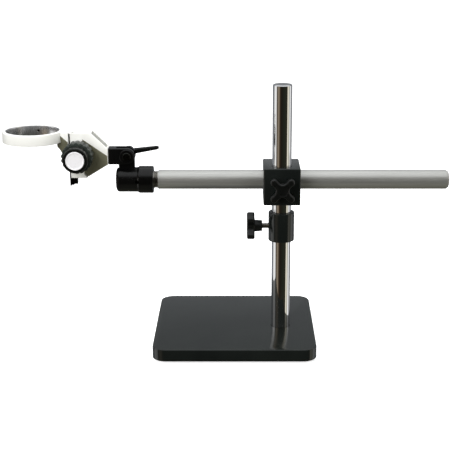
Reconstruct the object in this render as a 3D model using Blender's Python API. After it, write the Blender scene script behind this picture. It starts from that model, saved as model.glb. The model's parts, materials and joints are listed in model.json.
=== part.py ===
"""Boom stand with a rack focus mount and a head ring.

Metres, +Z up, front towards -Y. The pieces are drawn from a point on the table on the post's axis.
The last step moves them all, so that the origin ends below the middle of the whole stand.
"""
import math

import bmesh
import bpy
from mathutils import Matrix, Vector

# Driving dimensions
GAP = 0.0003
TUBE_RADIUS = 0.014
BORE_RADIUS = TUBE_RADIUS + GAP

FOOT_HEIGHT = 0.004
PLATE_THICKNESS = 0.018
BASE_TOP = FOOT_HEIGHT + PLATE_THICKNESS
BASE_LEFT, BASE_RIGHT = -0.1862, 0.0495
BASE_FRONT, BASE_REAR = -0.1010, 0.1335
BASE_CORNER = 0.020
BASE_EDGE = 0.0015
FOOT_INSET = 0.024
FOOT_STEM = 0.0042
FOOT_STEM_LENGTH = 0.007
POST_SOCKET_DEPTH = 0.006
POST_TOP = BASE_TOP + 0.3634
BOLT_RADIUS = 0.005
BOLT_HEAD_HEIGHT = 0.0065

COLLAR_BOTTOM = BASE_TOP + 0.1335
COLLAR_TOP = BASE_TOP + 0.1764
COLLAR_RADIUS = 0.019
COLLAR_KNOB_Z = BASE_TOP + 0.155

BLOCK_HALF_WIDTH = 0.0267
BLOCK_BOTTOM = BASE_TOP + 0.1902
BLOCK_TOP = BASE_TOP + 0.2445
BLOCK_FRONT, BLOCK_REAR = -0.020, 0.050

ARM_Y = 0.030
ARM_Z = (BLOCK_BOTTOM + BLOCK_TOP) / 2
ARM_LEFT, ARM_RIGHT = -0.181, 0.244
ARM_WALL = 0.003
PLUG_RISE = 0.004
PLUG_RADIUS = 0.0125

ADAPTER_RIGHT, ADAPTER_STEP, ADAPTER_LEFT = -0.188, -0.209, -0.2426
ADAPTER_WIDE, ADAPTER_NARROW = 0.0200, 0.0183
SPIGOT_RADIUS = 0.011
SPIGOT_COLLAR = 0.0128
SET_SCREW_X = -0.211
SET_SCREW_RADIUS = 0.0025

PIVOT_X, PIVOT_Z = -0.226, BASE_TOP + 0.2538
LUG_RIGHT, LUG_LEFT = 0.0108, 0.0125
FORK_ROUND = 0.0118
FORK_HALF = 0.0110
FORK_SLOT = 0.0158
LUG_HALF = 0.0050
BOSS_STAND = 0.0020
TILT_HEAD = 0.0016
FORK_LEFT = -0.2528
PIVOT_HOLE = 0.0043
LEVER_FACE = ARM_Y + FORK_HALF
LEVER_REACH = 0.0452
LEVER_SLOPE = math.radians(8.5)

BODY_FRONT, BODY_REAR = ARM_Y - 0.0135, ARM_Y + 0.0135
BODY_LEFT = -0.3076
HOUSING_RIGHT = -0.2893
LIP_THICKNESS = 0.0016
BODY_TOP, BODY_BOTTOM = BASE_TOP + 0.2900, BASE_TOP + 0.2225
NOSE_TOP, NOSE_BOTTOM = BASE_TOP + 0.2655, BASE_TOP + 0.2420
SLOPE_TOP_X, SLOPE_BOTTOM_X = -0.2786, -0.2830
GIB_X, GIB_Y = -0.3036, ARM_Y - 0.0097
GIB_RADIUS, GIB_HEAD = 0.0020, 0.0026
GIB_SINK = 0.0014

PINION_X, PINION_Z = -0.2955, BASE_TOP + 0.2569
MODULE = 0.001
PINION_TEETH = 12
PITCH_RADIUS = MODULE * PINION_TEETH / 2
RACK_LINE = PINION_X - PITCH_RADIUS
TOOTH_PITCH = math.pi * MODULE
SHAFT_RADIUS = 0.0035
BUSHING_RADIUS = 0.0060
RAIL_LEFT, RAIL_RIGHT = -0.3095, -0.3045
RAIL_BOTTOM, RAIL_TOP = BASE_TOP + 0.2105, BODY_TOP - LIP_THICKNESS - GAP
RAIL_SCREWS = {"upper": BASE_TOP + 0.284, "lower": BASE_TOP + 0.248}
STOP_Z = BASE_TOP + 0.2163
RAIL_HALF, RAIL_PLATE_HALF = 0.0065, 0.0130
RACK_HALF = 0.0040

FLUTES = 18
GRIP_RADIUS, FRONT_RADIUS = 0.0230, 0.0182
GRIP_LENGTH, KNOB_LENGTH = 0.021, 0.0375
CAP_RADIUS = 0.0134
CAP_SEAT = 0.002

RING_X = -0.3635
RING_TOP = BASE_TOP + 0.2910
RING_HEIGHT = 0.016
RING_BORE, RING_OUTER = 0.038, 0.044
RING_SCREW_ANGLE = math.radians(87)
BRACKET_HEEL = BASE_TOP + 0.2400

KNOB_LOBE_CENTRE = 0.0170
KNOB_LOBE_RADIUS = 0.0050
KNOB_WAIST = 0.0094
STUD_RADIUS = 0.004
LOBE_THICKNESS = 0.0115

# Directions that turned pieces point along
TO_X = Matrix.Rotation(math.radians(90), 4, "Y")
TO_LEFT = Matrix.Rotation(math.radians(-90), 4, "Y")
TO_REAR = Matrix.Rotation(math.radians(-90), 4, "X")
TO_FRONT = Matrix.Rotation(math.radians(90), 4, "X")
TO_TOP = Matrix.Identity(4)

MATERIALS = {
    "black_paint": ((0.012, 0.014, 0.013), 0.35, 0.0),
    "gloss_black": ((0.006, 0.006, 0.006), 0.22, 0.0),
    "chrome": ((0.80, 0.80, 0.81), 0.08, 1.0),
    "satin_metal": ((0.60, 0.60, 0.60), 0.35, 1.0),
    "steel": ((0.55, 0.55, 0.55), 0.30, 1.0),
    "dark_steel": ((0.04, 0.04, 0.04), 0.40, 1.0),
    "brass": ((0.70, 0.52, 0.25), 0.30, 1.0),
    "white_enamel": ((0.86, 0.86, 0.83), 0.35, 0.0),
    "knob_rubber": ((0.045, 0.055, 0.055), 0.55, 0.0),
    "black_plastic": ((0.015, 0.015, 0.015), 0.40, 0.0),
    "white_plastic": ((0.85, 0.84, 0.87), 0.30, 0.0),
    "rubber": ((0.02, 0.02, 0.02), 0.80, 0.0),
}


def clear_scene():
    for item in list(bpy.data.objects):
        bpy.data.objects.remove(item, do_unlink=True)


def material(name):
    found = bpy.data.materials.get(name)
    if found:
        return found
    colour, roughness, metallic = MATERIALS[name]
    made = bpy.data.materials.new(name)
    made.use_nodes = True
    shader = made.node_tree.nodes["Principled BSDF"]
    shader.inputs["Base Color"].default_value = (*colour, 1)
    shader.inputs["Roughness"].default_value = roughness
    shader.inputs["Metallic"].default_value = metallic
    return made


def add(name, bm, origin, look, turn=TO_TOP):
    """Makes an object at origin from a bmesh drawn round its own zero."""
    bmesh.ops.recalc_face_normals(bm, faces=bm.faces)
    mesh = bpy.data.meshes.new(name)
    bm.to_mesh(mesh)
    bm.free()
    mesh.materials.append(material(look))
    mesh.shade_smooth()
    mesh.set_sharp_from_angle(angle=math.radians(35))
    made = bpy.data.objects.new(name, mesh)
    made.matrix_world = Matrix.Translation(origin) @ turn
    bpy.context.scene.collection.objects.link(made)
    return made


def turned_mesh(profile, steps=24):
    """Turns (radius, height) points about Z. A profile that stays off the axis makes a ring."""
    bm = bmesh.new()
    rings = []
    for radius, height in profile:
        if radius == 0:
            rings.append([bm.verts.new((0, 0, height))])
            continue
        angles = [2 * math.pi * step / steps for step in range(steps)]
        rings.append([bm.verts.new((radius * math.cos(a), radius * math.sin(a), height)) for a in angles])
    on_axis = profile[0][0] == 0 or profile[-1][0] == 0
    pairs = list(zip(rings, rings[1:]))
    if not on_axis:
        pairs.append((rings[-1], rings[0]))
    for low, high in pairs:
        for step in range(steps):
            after = (step + 1) % steps
            corners = [low[step % len(low)], low[after % len(low)], high[after % len(high)],
                       high[step % len(high)]]
            bm.faces.new(list(dict.fromkeys(corners)))
    return bm


def turned(name, profile, origin, look, turn=TO_TOP, steps=24):
    return add(name, turned_mesh(profile, steps), origin, look, turn)


def rod_profile(radius, length, chamfer=0.0005):
    inner, end = radius - chamfer, length - chamfer
    return [(0, 0), (inner, 0), (radius, chamfer), (radius, end), (inner, length), (0, length)]


def ring_profile(inner, outer, length, chamfer=0.0005):
    side, end = outer - chamfer, length - chamfer
    return [(inner, 0), (side, 0), (outer, chamfer), (outer, end), (side, length), (inner, length)]


def prism_mesh(outline, low, high):
    """An outline in X and Y, extruded from low to high along Z."""
    bm = bmesh.new()
    face = bm.faces.new([bm.verts.new((x, y, low)) for x, y in outline])
    grown = bmesh.ops.extrude_face_region(bm, geom=[face])
    moved = [item for item in grown["geom"] if isinstance(item, bmesh.types.BMVert)]
    bmesh.ops.translate(bm, verts=moved, vec=(0, 0, high - low))
    return bm


def rounded_rectangle(left, right, front, rear, radius, steps=6):
    corners = [(right - radius, rear - radius, 0), (left + radius, rear - radius, 1),
               (left + radius, front + radius, 2), (right - radius, front + radius, 3)]
    points = []
    for x, y, quarter in corners:
        for step in range(steps + 1):
            angle = math.radians(90 * (quarter + step / steps))
            points.append((x + radius * math.cos(angle), y + radius * math.sin(angle)))
    return points


def box_mesh(low, high):
    bm = bmesh.new()
    bmesh.ops.create_cube(bm, size=1)
    middle = (Vector(low) + Vector(high)) / 2
    size = Vector(high) - Vector(low)
    bmesh.ops.scale(bm, vec=size, verts=bm.verts)
    bmesh.ops.translate(bm, vec=middle, verts=bm.verts)
    return bm


def bevel_edges(bm, edges, width, segments=1):
    bmesh.ops.bevel(bm, geom=edges, offset=width, segments=segments, affect="EDGES", profile=0.5)


def shape(target, tool, operation):
    """Adds or removes one helper object, which stays hidden."""
    modifier = target.modifiers.new(operation.lower(), "BOOLEAN")
    modifier.operation = operation
    modifier.object = tool
    tool.hide_render = True
    tool.display_type = "WIRE"


def cut_hole(target, radius, origin, turn, length, steps=24):
    name = f"{target.name}_cutter_{len(target.modifiers)}"
    profile = [(0, 0), (radius, 0), (radius, length), (0, length)]
    shape(target, turned(name, profile, origin, "steel", turn, steps), "DIFFERENCE")


def cut_box(target, low, high):
    name = f"{target.name}_cutter_{len(target.modifiers)}"
    shape(target, add(name, box_mesh(low, high), (0, 0, 0), "steel"), "DIFFERENCE")


def chamfer_plane(bm, point, normal):
    """Takes away what is beyond a plane and closes the cut."""
    geometry = bm.verts[:] + bm.edges[:] + bm.faces[:]
    result = bmesh.ops.bisect_plane(bm, geom=geometry, plane_co=point, plane_no=normal, clear_outer=True)
    edges = [item for item in result["geom_cut"] if isinstance(item, bmesh.types.BMEdge)]
    bmesh.ops.contextual_create(bm, geom=edges)


# Base and post

def base_plate():
    outline = rounded_rectangle(BASE_LEFT, BASE_RIGHT, BASE_FRONT, BASE_REAR, BASE_CORNER, steps=6)
    bm = prism_mesh(outline, FOOT_HEIGHT, BASE_TOP)
    rims = [edge for edge in bm.edges if abs(edge.verts[0].co.z - edge.verts[1].co.z) < 1e-6]
    bevel_edges(bm, rims, BASE_EDGE)
    plate = add("base_plate", bm, (0, 0, 0), "black_paint")
    cut_hole(plate, BORE_RADIUS, (0, 0, BASE_TOP - POST_SOCKET_DEPTH), TO_TOP, 0.02)
    cut_hole(plate, BOLT_RADIUS + GAP, (0, 0, 0), TO_TOP, 0.03, 16)
    cut_hole(plate, 0.0125, (0, 0, 0), TO_TOP, FOOT_HEIGHT + 0.0095, 24)
    for _, x, y in foot_places():
        cut_hole(plate, FOOT_STEM + GAP, (x, y, 0), TO_TOP, FOOT_HEIGHT + FOOT_STEM_LENGTH + 0.001, 16)


def foot_places():
    return [("front_left", BASE_LEFT + FOOT_INSET, BASE_FRONT + FOOT_INSET),
            ("front_right", BASE_RIGHT - FOOT_INSET, BASE_FRONT + FOOT_INSET),
            ("rear_left", BASE_LEFT + FOOT_INSET, BASE_REAR - FOOT_INSET),
            ("rear_right", BASE_RIGHT - FOOT_INSET, BASE_REAR - FOOT_INSET)]


def feet():
    """Rubber feet with a stem pushed into the plate's underside."""
    top = FOOT_HEIGHT - GAP
    profile = [(0, 0), (0.0095, 0), (0.0105, 0.001), (0.010, top), (FOOT_STEM, top), (FOOT_STEM,
                                                                                      top + FOOT_STEM_LENGTH),
               (0, top + FOOT_STEM_LENGTH)]
    for corner, x, y in foot_places():
        turned(f"foot_{corner}", profile, (x, y, 0), "rubber", steps=20)


def vertical_post():
    bottom = BASE_TOP - POST_SOCKET_DEPTH + GAP
    post = turned("vertical_post", rod_profile(TUBE_RADIUS, POST_TOP - bottom, 0.0012), (0, 0, bottom),
                  "chrome",
                  steps=32)
    cut_hole(post, BOLT_RADIUS + GAP, (0, 0, bottom - 0.001), TO_TOP, 0.031, 16)


def post_bolt():
    """Hexagon bolt from below, with its washer above the head."""
    start = FOOT_HEIGHT + 0.0007
    shank_top = BASE_TOP - POST_SOCKET_DEPTH + 0.028
    profile = [(0.0085, 0), (0.0092, 0.0006), (0.0092, BOLT_HEAD_HEIGHT)]
    bm = turned_mesh([(0, 0)] + profile + [(0, BOLT_HEAD_HEIGHT)], 6)
    bolt = add("post_bolt", bm, (0, 0, start), "steel")
    head_top = start + BOLT_HEAD_HEIGHT
    shank = turned("post_bolt_shank", rod_profile(BOLT_RADIUS, shank_top - head_top + 0.001),
                   (0, 0, head_top - 0.001), "steel", steps=16)
    shape(bolt, shank, "UNION")
    turned("post_washer", ring_profile(BOLT_RADIUS + GAP, 0.0105, 0.0016, 0.0003), (0, 0, head_top + GAP),
           "steel")


# Clamp knobs

def four_lobes(steps=5):
    """Outline of a knob with four round lobes on its diagonals, with hollow flanks."""
    points = []
    for lobe in range(4):
        middle = math.radians(45 + 90 * lobe)
        centre = Vector((math.cos(middle), math.sin(middle))) * KNOB_LOBE_CENTRE
        for step in range(steps + 1):
            angle = middle + math.radians(-75 + 150 * step / steps)
            points.append((centre.x + KNOB_LOBE_RADIUS * math.cos(angle),
                           centre.y + KNOB_LOBE_RADIUS * math.sin(angle)))
        for turn, reach in ((30, 0.0112), (45, KNOB_WAIST), (60, 0.0112)):
            flank = middle + math.radians(turn)
            points.append((reach * math.cos(flank), reach * math.sin(flank)))
    return points


def clamp_knob(name, face, turn, stand, stud_length, hub_length):
    """A four-lobe knob whose stud starts at face minus its length and whose hub stands off by stand."""
    bm = prism_mesh(four_lobes(), 0, LOBE_THICKNESS)
    ends = [face_item for face_item in bm.faces if len(face_item.verts) > 4]
    rims = list({edge for end in ends for edge in end.edges})
    bevel_edges(bm, rims, 0.0018)
    along = turn @ Vector((0, 0, 1))
    seat = Vector(face) + along * stand
    knob = add(f"{name}_knob", bm, seat + along * hub_length, "black_plastic", turn)
    hub = turned(f"{name}_knob_hub", rod_profile(0.0090, hub_length + 0.001), seat, "black_plastic", turn, 16)
    shape(knob, hub, "UNION")
    blind = 0.010
    cut_hole(knob, STUD_RADIUS + GAP, seat - along * 0.001, turn, blind + 0.001, 12)
    start = Vector(face) - along * stud_length
    turned(f"{name}_stud", rod_profile(STUD_RADIUS, stud_length + stand + blind - GAP), start, "steel",
           turn, 12)


# Collar, block and boom

def stop_collar():
    collar = turned("stop_collar", ring_profile(BORE_RADIUS, COLLAR_RADIUS, COLLAR_TOP - COLLAR_BOTTOM,
                                                0.001),
                    (0, 0, COLLAR_BOTTOM), "black_paint", steps=32)
    cut_hole(collar, STUD_RADIUS + GAP, (-0.010, 0, COLLAR_KNOB_Z), TO_LEFT, 0.02, 12)
    clamp_knob("collar", (-COLLAR_RADIUS, 0, COLLAR_KNOB_Z), TO_LEFT, 0.009, COLLAR_RADIUS - BORE_RADIUS,
               0.011)


def cross_block():
    bm = box_mesh((-BLOCK_HALF_WIDTH, BLOCK_FRONT, BLOCK_BOTTOM), (BLOCK_HALF_WIDTH, BLOCK_REAR, BLOCK_TOP))
    bevel_edges(bm, bm.edges[:], 0.0018)
    block = add("cross_block", bm, (0, 0, 0), "black_paint")
    cut_hole(block, BORE_RADIUS, (0, 0, BLOCK_BOTTOM - 0.01), TO_TOP, 0.08, 32)
    cut_hole(block, BORE_RADIUS, (-0.04, ARM_Y, ARM_Z), TO_X, 0.08, 32)
    cut_hole(block, STUD_RADIUS + GAP, (0, -0.010, ARM_Z), TO_FRONT, 0.02, 12)
    cut_hole(block, STUD_RADIUS + GAP, (0, ARM_Y + 0.010, ARM_Z), TO_REAR, 0.02, 12)
    clamp_knob("post_clamp", (0, BLOCK_FRONT, ARM_Z), TO_FRONT, 0.0055, -BORE_RADIUS - BLOCK_FRONT, 0.008)
    clamp_knob("arm_clamp", (0, BLOCK_REAR, ARM_Z), TO_REAR, 0.0055, BLOCK_REAR - ARM_Y - BORE_RADIUS,
               0.008)


def boom_arm():
    inner = TUBE_RADIUS - ARM_WALL
    length = ARM_RIGHT - ARM_LEFT
    turned("boom_arm", ring_profile(inner, TUBE_RADIUS, length, 0.0006), (ARM_LEFT, ARM_Y, ARM_Z),
           "satin_metal",
           TO_X, 32)
    plug = inner - GAP
    rim = ARM_RIGHT + GAP
    dome = [(PLUG_RADIUS * math.cos(math.radians(a)),
             rim + PLUG_RISE * (0.25 + 0.75 * math.sin(math.radians(a))))
            for a in (0, 30, 60)]
    profile = [(0, rim - 0.0153), (plug, rim - 0.0153), (plug, rim), (PLUG_RADIUS, rim)]
    profile += dome + [(0, rim + PLUG_RISE)]
    turned("arm_end_plug", profile, (0, ARM_Y, ARM_Z), "satin_metal", TO_X)


def arm_spigot():
    """Turned plug: shank in the tube, bright collar with two grooves, journal in the adapter."""
    inner = TUBE_RADIUS - ARM_WALL - GAP
    left = ADAPTER_RIGHT - 0.032
    collar_left, collar_right = ADAPTER_RIGHT + GAP, ARM_LEFT - GAP
    journal, collar, groove, neck = SPIGOT_RADIUS - GAP, SPIGOT_COLLAR, SPIGOT_COLLAR - 0.001, 0.009
    profile = [(0, left), (journal, left), (journal, SET_SCREW_X - 0.003), (neck, SET_SCREW_X - 0.0025),
               (neck, SET_SCREW_X + 0.0025), (journal, SET_SCREW_X + 0.003), (journal, collar_left),
               (collar, collar_left), (collar, collar_left + 0.0016), (groove, collar_left + 0.0024),
               (collar, collar_left + 0.0032), (groove, collar_left + 0.0042), (collar, collar_left + 0.0052),
               (collar, collar_right), (inner, collar_right), (inner, collar_right + 0.025),
               (0, collar_right + 0.025)]
    turned("arm_spigot", profile, (0, ARM_Y, ARM_Z), "steel", TO_X)


# Roll and tilt adapter

def arm_adapter():
    """Socket on the spigot, with an upright lug for the fork."""
    wide, narrow = ADAPTER_WIDE, ADAPTER_NARROW
    profile = [(0, ADAPTER_LEFT), (narrow - 0.004, ADAPTER_LEFT), (narrow - 0.0012, ADAPTER_LEFT + 0.0012),
               (narrow, ADAPTER_LEFT + 0.004), (narrow, ADAPTER_STEP - 0.0015), (wide, ADAPTER_STEP),
               (wide, ADAPTER_RIGHT - 0.0008), (wide - 0.0008, ADAPTER_RIGHT), (0, ADAPTER_RIGHT)]
    adapter = turned("arm_adapter", profile, (0, ARM_Y, ARM_Z), "gloss_black", TO_X, 32)
    foot = ARM_Z - PIVOT_Z
    arc = [((LUG_RIGHT if a <= 90 else LUG_LEFT) * math.cos(math.radians(a)),
            LUG_RIGHT * math.sin(math.radians(a)))
           for a in range(0, 181, 18)]
    outline = [(LUG_RIGHT, foot)] + arc + [(-LUG_LEFT, foot)]
    lug = add("arm_adapter_lug", prism_mesh([(x, -z) for x, z in outline], -LUG_HALF, LUG_HALF),
              (PIVOT_X, ARM_Y, PIVOT_Z), "gloss_black", TO_REAR)
    shape(adapter, lug, "UNION")
    cut_hole(adapter, SPIGOT_RADIUS, (ADAPTER_RIGHT + 0.001, ARM_Y, ARM_Z), TO_LEFT, 0.0345)
    cut_hole(adapter, PIVOT_HOLE, (PIVOT_X, ARM_Y - 0.02, PIVOT_Z), TO_REAR, 0.04, 20)
    for side, turn in (("front", TO_FRONT), ("rear", TO_REAR)):
        cut_hole(adapter, SET_SCREW_RADIUS + GAP, (SET_SCREW_X, ARM_Y, ARM_Z), turn, 0.025, 12)
        along = turn @ Vector((0, 0, 1))
        start = Vector((SET_SCREW_X, ARM_Y, ARM_Z)) + along * 0.0093
        screw = turned(f"adapter_set_screw_{side}", rod_profile(SET_SCREW_RADIUS, 0.0070), start,
                       "dark_steel", turn,
                       12)
        cut_hole(screw, 0.0012, start + along * 0.0045, turn, 0.01, 6)


def tilt_fork():
    """Square bar; its right end is a fork with round cheeks on either side of the lug."""
    arc = [(FORK_ROUND * math.cos(math.radians(a)), FORK_ROUND * math.sin(math.radians(a)))
           for a in range(-90, 91, 15)]
    left = FORK_LEFT - PIVOT_X
    outline = [(left, -FORK_ROUND)] + arc + [(left, FORK_ROUND)]
    bm = prism_mesh([(x, -z) for x, z in outline], -FORK_HALF, FORK_HALF)
    sides = [face for face in bm.faces if len(face.verts) > 4]
    bevel_edges(bm, list({edge for face in sides for edge in face.edges}), 0.0012, 1)
    fork = add("tilt_fork", bm, (PIVOT_X, ARM_Y, PIVOT_Z), "gloss_black", TO_REAR)
    reach = LUG_HALF + GAP
    boss = turned("tilt_fork_boss", rod_profile(0.0106, BOSS_STAND + 0.002, 0.0008),
                  (PIVOT_X, ARM_Y - FORK_HALF - BOSS_STAND, PIVOT_Z), "gloss_black", TO_REAR, 32)
    shape(fork, boss, "UNION")
    cut_box(fork, (PIVOT_X - FORK_SLOT, ARM_Y - reach, PIVOT_Z - 0.02),
            (PIVOT_X + 0.02, ARM_Y + reach, PIVOT_Z + 0.02))
    cut_hole(fork, PIVOT_HOLE, (PIVOT_X, ARM_Y - 0.02, PIVOT_Z), TO_REAR, 0.04, 20)


def tilt_bolt():
    """Pivot and clamp bolt: low head in front, threaded end in the lever's insert behind."""
    head = ARM_Y - FORK_HALF - BOSS_STAND - GAP
    profile = [(0, head - TILT_HEAD), (0.0055, head - TILT_HEAD), (0.0063, head - TILT_HEAD + 0.0008),
               (0.0063, head), (0.004, head),
               (0.004, LEVER_FACE + 0.0100), (0, LEVER_FACE + 0.0100)]
    bolt = turned("tilt_bolt", profile, (PIVOT_X, 0, PIVOT_Z), "dark_steel", TO_REAR, 20)
    cut_hole(bolt, 0.0022, (PIVOT_X, head - 0.003, PIVOT_Z), TO_REAR, 0.0022, 6)
    cut_hole(bolt, 0.0018, (PIVOT_X, LEVER_FACE + 0.0060, PIVOT_Z), TO_REAR, 0.010, 12)
    turned("tilt_washer", ring_profile(PIVOT_HOLE, 0.0085, 0.0012, 0.0002), (PIVOT_X, LEVER_FACE + GAP,
                                                                             PIVOT_Z),
           "steel", TO_REAR, 20)


def lever_grip():
    """Tapered round bar along +X with a blunt end, as distance, half height and half width."""
    steps = 12
    sections = [(0.0060, 0.0044, 0.0038), (0.020, 0.0038, 0.0034), (LEVER_REACH - 0.004, 0.0029, 0.0029),
                (LEVER_REACH - 0.0008, 0.0027, 0.0027), (LEVER_REACH, 0.0019, 0.0019)]
    bm = bmesh.new()
    loops = []
    for along, half_height, half_width in sections:
        angles = [2 * math.pi * step / steps for step in range(steps)]
        loops.append([bm.verts.new((along, half_width * math.cos(a),
                                    half_height * math.sin(a))) for a in angles])
    for near, far in zip(loops, loops[1:]):
        for step in range(steps):
            after = (step + 1) % steps
            bm.faces.new((near[step], near[after], far[after], far[step]))
    bm.faces.new(loops[0])
    bm.faces.new(loops[-1])
    return bm


def clamp_lever():
    """Ratchet lever: threaded insert on the bolt, handle that lifts off its teeth, spring and screw."""
    start = LEVER_FACE + 0.0012 + 2 * GAP
    insert = [(PIVOT_HOLE, start), (0.0078, start), (0.0078, start + 0.0025), (0.0062, start + 0.0030),
              (0.0062, start + 0.0088), (PIVOT_HOLE, start + 0.0088)]
    turned("lever_insert", insert, (PIVOT_X, 0, PIVOT_Z), "dark_steel", TO_REAR, 12)
    hub_start = start + 0.0034
    wall, top = hub_start + 0.0075, hub_start + 0.0165
    hub = [(0.0020, hub_start), (0.0084, hub_start), (0.0090, hub_start + 0.0006), (0.0084, top - 0.0015),
           (0.0072, top), (0.0020, top)]
    handle = turned("lever_handle", hub, (PIVOT_X, 0, PIVOT_Z), "black_plastic", TO_REAR, 28)
    grip = add("lever_handle_grip", lever_grip(), (PIVOT_X, hub_start + 0.0085, PIVOT_Z), "black_plastic",
               Matrix.Rotation(-LEVER_SLOPE, 4, "Y"))
    shape(handle, grip, "UNION")
    cut_hole(handle, 0.0069, (PIVOT_X, hub_start - 0.001, PIVOT_Z), TO_REAR, wall - hub_start + 0.001, 28)
    cut_hole(handle, 0.0060, (PIVOT_X, wall + 0.0015, PIVOT_Z), TO_REAR, 0.012, 24)
    head = hub_start + 0.0140
    screw = [(0, LEVER_FACE + 0.0075), (0.0015, LEVER_FACE + 0.0075), (0.0015, head), (0.0050, head),
             (0.0050, head + 0.0020), (0.0044, head + 0.0026), (0, head + 0.0026)]
    turned("lever_screw", screw, (PIVOT_X, 0, PIVOT_Z), "dark_steel", TO_REAR, 16)
    spring = [(0.0024, head - 0.0024), (0.0046, head - 0.0024), (0.0046, head - GAP), (0.0024, head - GAP)]
    turned("lever_spring", spring, (PIVOT_X, 0, PIVOT_Z), "steel", TO_REAR, 16)


# Focus mount

def slope_flanks(bm, upper, lower, inner, depth):
    """Cuts both flanks back below the line from upper to lower, by depth at inner. Points are X and Z."""
    for face_y, sign in ((BODY_FRONT, -1), (BODY_REAR, 1)):
        first, second = Vector((upper[0], face_y, upper[1])), Vector((lower[0], face_y, lower[1]))
        third = Vector((inner[0], face_y - sign * depth, inner[1]))
        normal = (second - first).cross(third - first).normalized()
        chamfer_plane(bm, first, normal if normal.y * sign > 0 else -normal)


def side_prism(outline, front, rear):
    """An outline in X and Z, extruded from front to rear."""
    bm = prism_mesh([(x, -z) for x, z in outline], front, rear)
    bmesh.ops.rotate(bm, verts=bm.verts, matrix=TO_REAR.to_3x3())
    return bm


def soften(item):
    """Breaks the sharp edges of a casting."""
    bevel = item.modifiers.new("edges", "BEVEL")
    bevel.width = 0.0006
    bevel.segments = 1
    bevel.limit_method = "ANGLE"
    bevel.angle_limit = math.radians(40)


def focus_body():
    """White casting: slide housing with a lip over the groove, and a tapered neck with cut-back flanks."""
    right, inset = FORK_LEFT - GAP, 0.0001
    lip_left, lip_bottom = RAIL_LEFT, BODY_TOP - LIP_THICKNESS
    housing = [(BODY_LEFT, BODY_BOTTOM), (SLOPE_BOTTOM_X - 0.0006, BODY_BOTTOM),
               (HOUSING_RIGHT, BODY_BOTTOM + 0.0065), (HOUSING_RIGHT, BODY_TOP), (lip_left, BODY_TOP),
               (lip_left, lip_bottom), (BODY_LEFT, lip_bottom)]
    body = add("focus_body", side_prism(housing, BODY_FRONT, BODY_REAR), (0, 0, 0), "white_enamel")
    soften(body)
    hidden = HOUSING_RIGHT - 0.0040
    neck = side_prism([(hidden, BODY_BOTTOM + inset), (SLOPE_BOTTOM_X, BODY_BOTTOM + inset), (right,
                                                                                              NOSE_BOTTOM),
                       (right, NOSE_TOP), (SLOPE_TOP_X, BODY_TOP - inset), (hidden, BODY_TOP - inset)],
                      BODY_FRONT + inset, BODY_REAR - inset)
    slope_flanks(neck, (SLOPE_TOP_X, BASE_TOP + 0.2727), (right, BASE_TOP + 0.2550),
                 (SLOPE_BOTTOM_X, BODY_BOTTOM), 0.0085)
    shape(body, add("focus_body_neck", neck, (0, 0, 0), "steel"), "UNION")
    groove_half = RAIL_HALF + GAP
    cut_box(body, (BODY_LEFT - 0.01, ARM_Y - groove_half, 0.2), (RAIL_RIGHT + GAP, ARM_Y + groove_half,
                                                                 lip_bottom))
    pocket = RACK_HALF + GAP + 0.0002
    cut_box(body, (BODY_LEFT, ARM_Y - pocket, 0.2), (PINION_X - 0.0035, ARM_Y + pocket, lip_bottom))
    cut_hole(body, 0.0078, (PINION_X, ARM_Y - pocket, PINION_Z), TO_REAR, 2 * pocket, 24)
    cut_hole(body, BUSHING_RADIUS + GAP, (PINION_X, BODY_FRONT - 0.001, PINION_Z), TO_REAR, 0.04, 24)
    cut_hole(body, GIB_HEAD + GAP, (GIB_X, GIB_Y, BODY_TOP - GIB_SINK), TO_TOP, 0.02, 20)
    cut_hole(body, GIB_RADIUS + GAP, (GIB_X, GIB_Y, BODY_TOP - 0.006), TO_TOP, 0.02, 16)
    slant = math.atan2(BODY_TOP - NOSE_TOP, right - SLOPE_TOP_X)
    middle = Vector(((right + SLOPE_TOP_X) / 2, ARM_Y, (BODY_TOP + NOSE_TOP) / 2))
    recess = add("focus_body_recess", box_mesh((-0.0150, -0.0095, -0.0010), (0.0150, 0.0095, 0.0010)), middle,
                 "steel", Matrix.Rotation(slant, 4, "Y"))
    shape(body, recess, "DIFFERENCE")


def gib_screw():
    """Slide adjustment screw, its head sunk in the body's top."""
    tip, under, top = -0.0054, GAP - GIB_SINK, -GAP
    profile = [(0, tip), (GIB_RADIUS, tip), (GIB_RADIUS, under), (GIB_HEAD, under), (GIB_HEAD, top), (0, top)]
    screw = turned("gib_screw", profile, (GIB_X, GIB_Y, BODY_TOP), "dark_steel", steps=20)
    cut_hole(screw, 0.0010, (GIB_X, GIB_Y, BODY_TOP - 0.0016), TO_TOP, 0.005, 6)


def rack_profile():
    """Rack in X and Z: straight flanks, a gap between teeth facing the pinion at rest."""
    back = RAIL_RIGHT + GAP - 0.0001
    tip, root = RACK_LINE + 0.80 * MODULE, RACK_LINE - 1.15 * MODULE
    slope = math.tan(math.radians(20))
    half_pitch_line = 0.21 * TOOTH_PITCH
    half_tip = half_pitch_line - (tip - RACK_LINE) * slope
    half_root = half_pitch_line + (RACK_LINE - root) * slope
    first, last = -9, 8
    points = [(back, PINION_Z + (first - 0.1) * TOOTH_PITCH)]
    for tooth in range(first, last + 1):
        middle = PINION_Z + (tooth + 0.5) * TOOTH_PITCH
        points += [(root, middle - half_root), (tip, middle - half_tip), (tip, middle + half_tip),
                   (root, middle + half_root)]
    points.append((back, PINION_Z + (last + 1.1) * TOOTH_PITCH))
    return points


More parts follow.
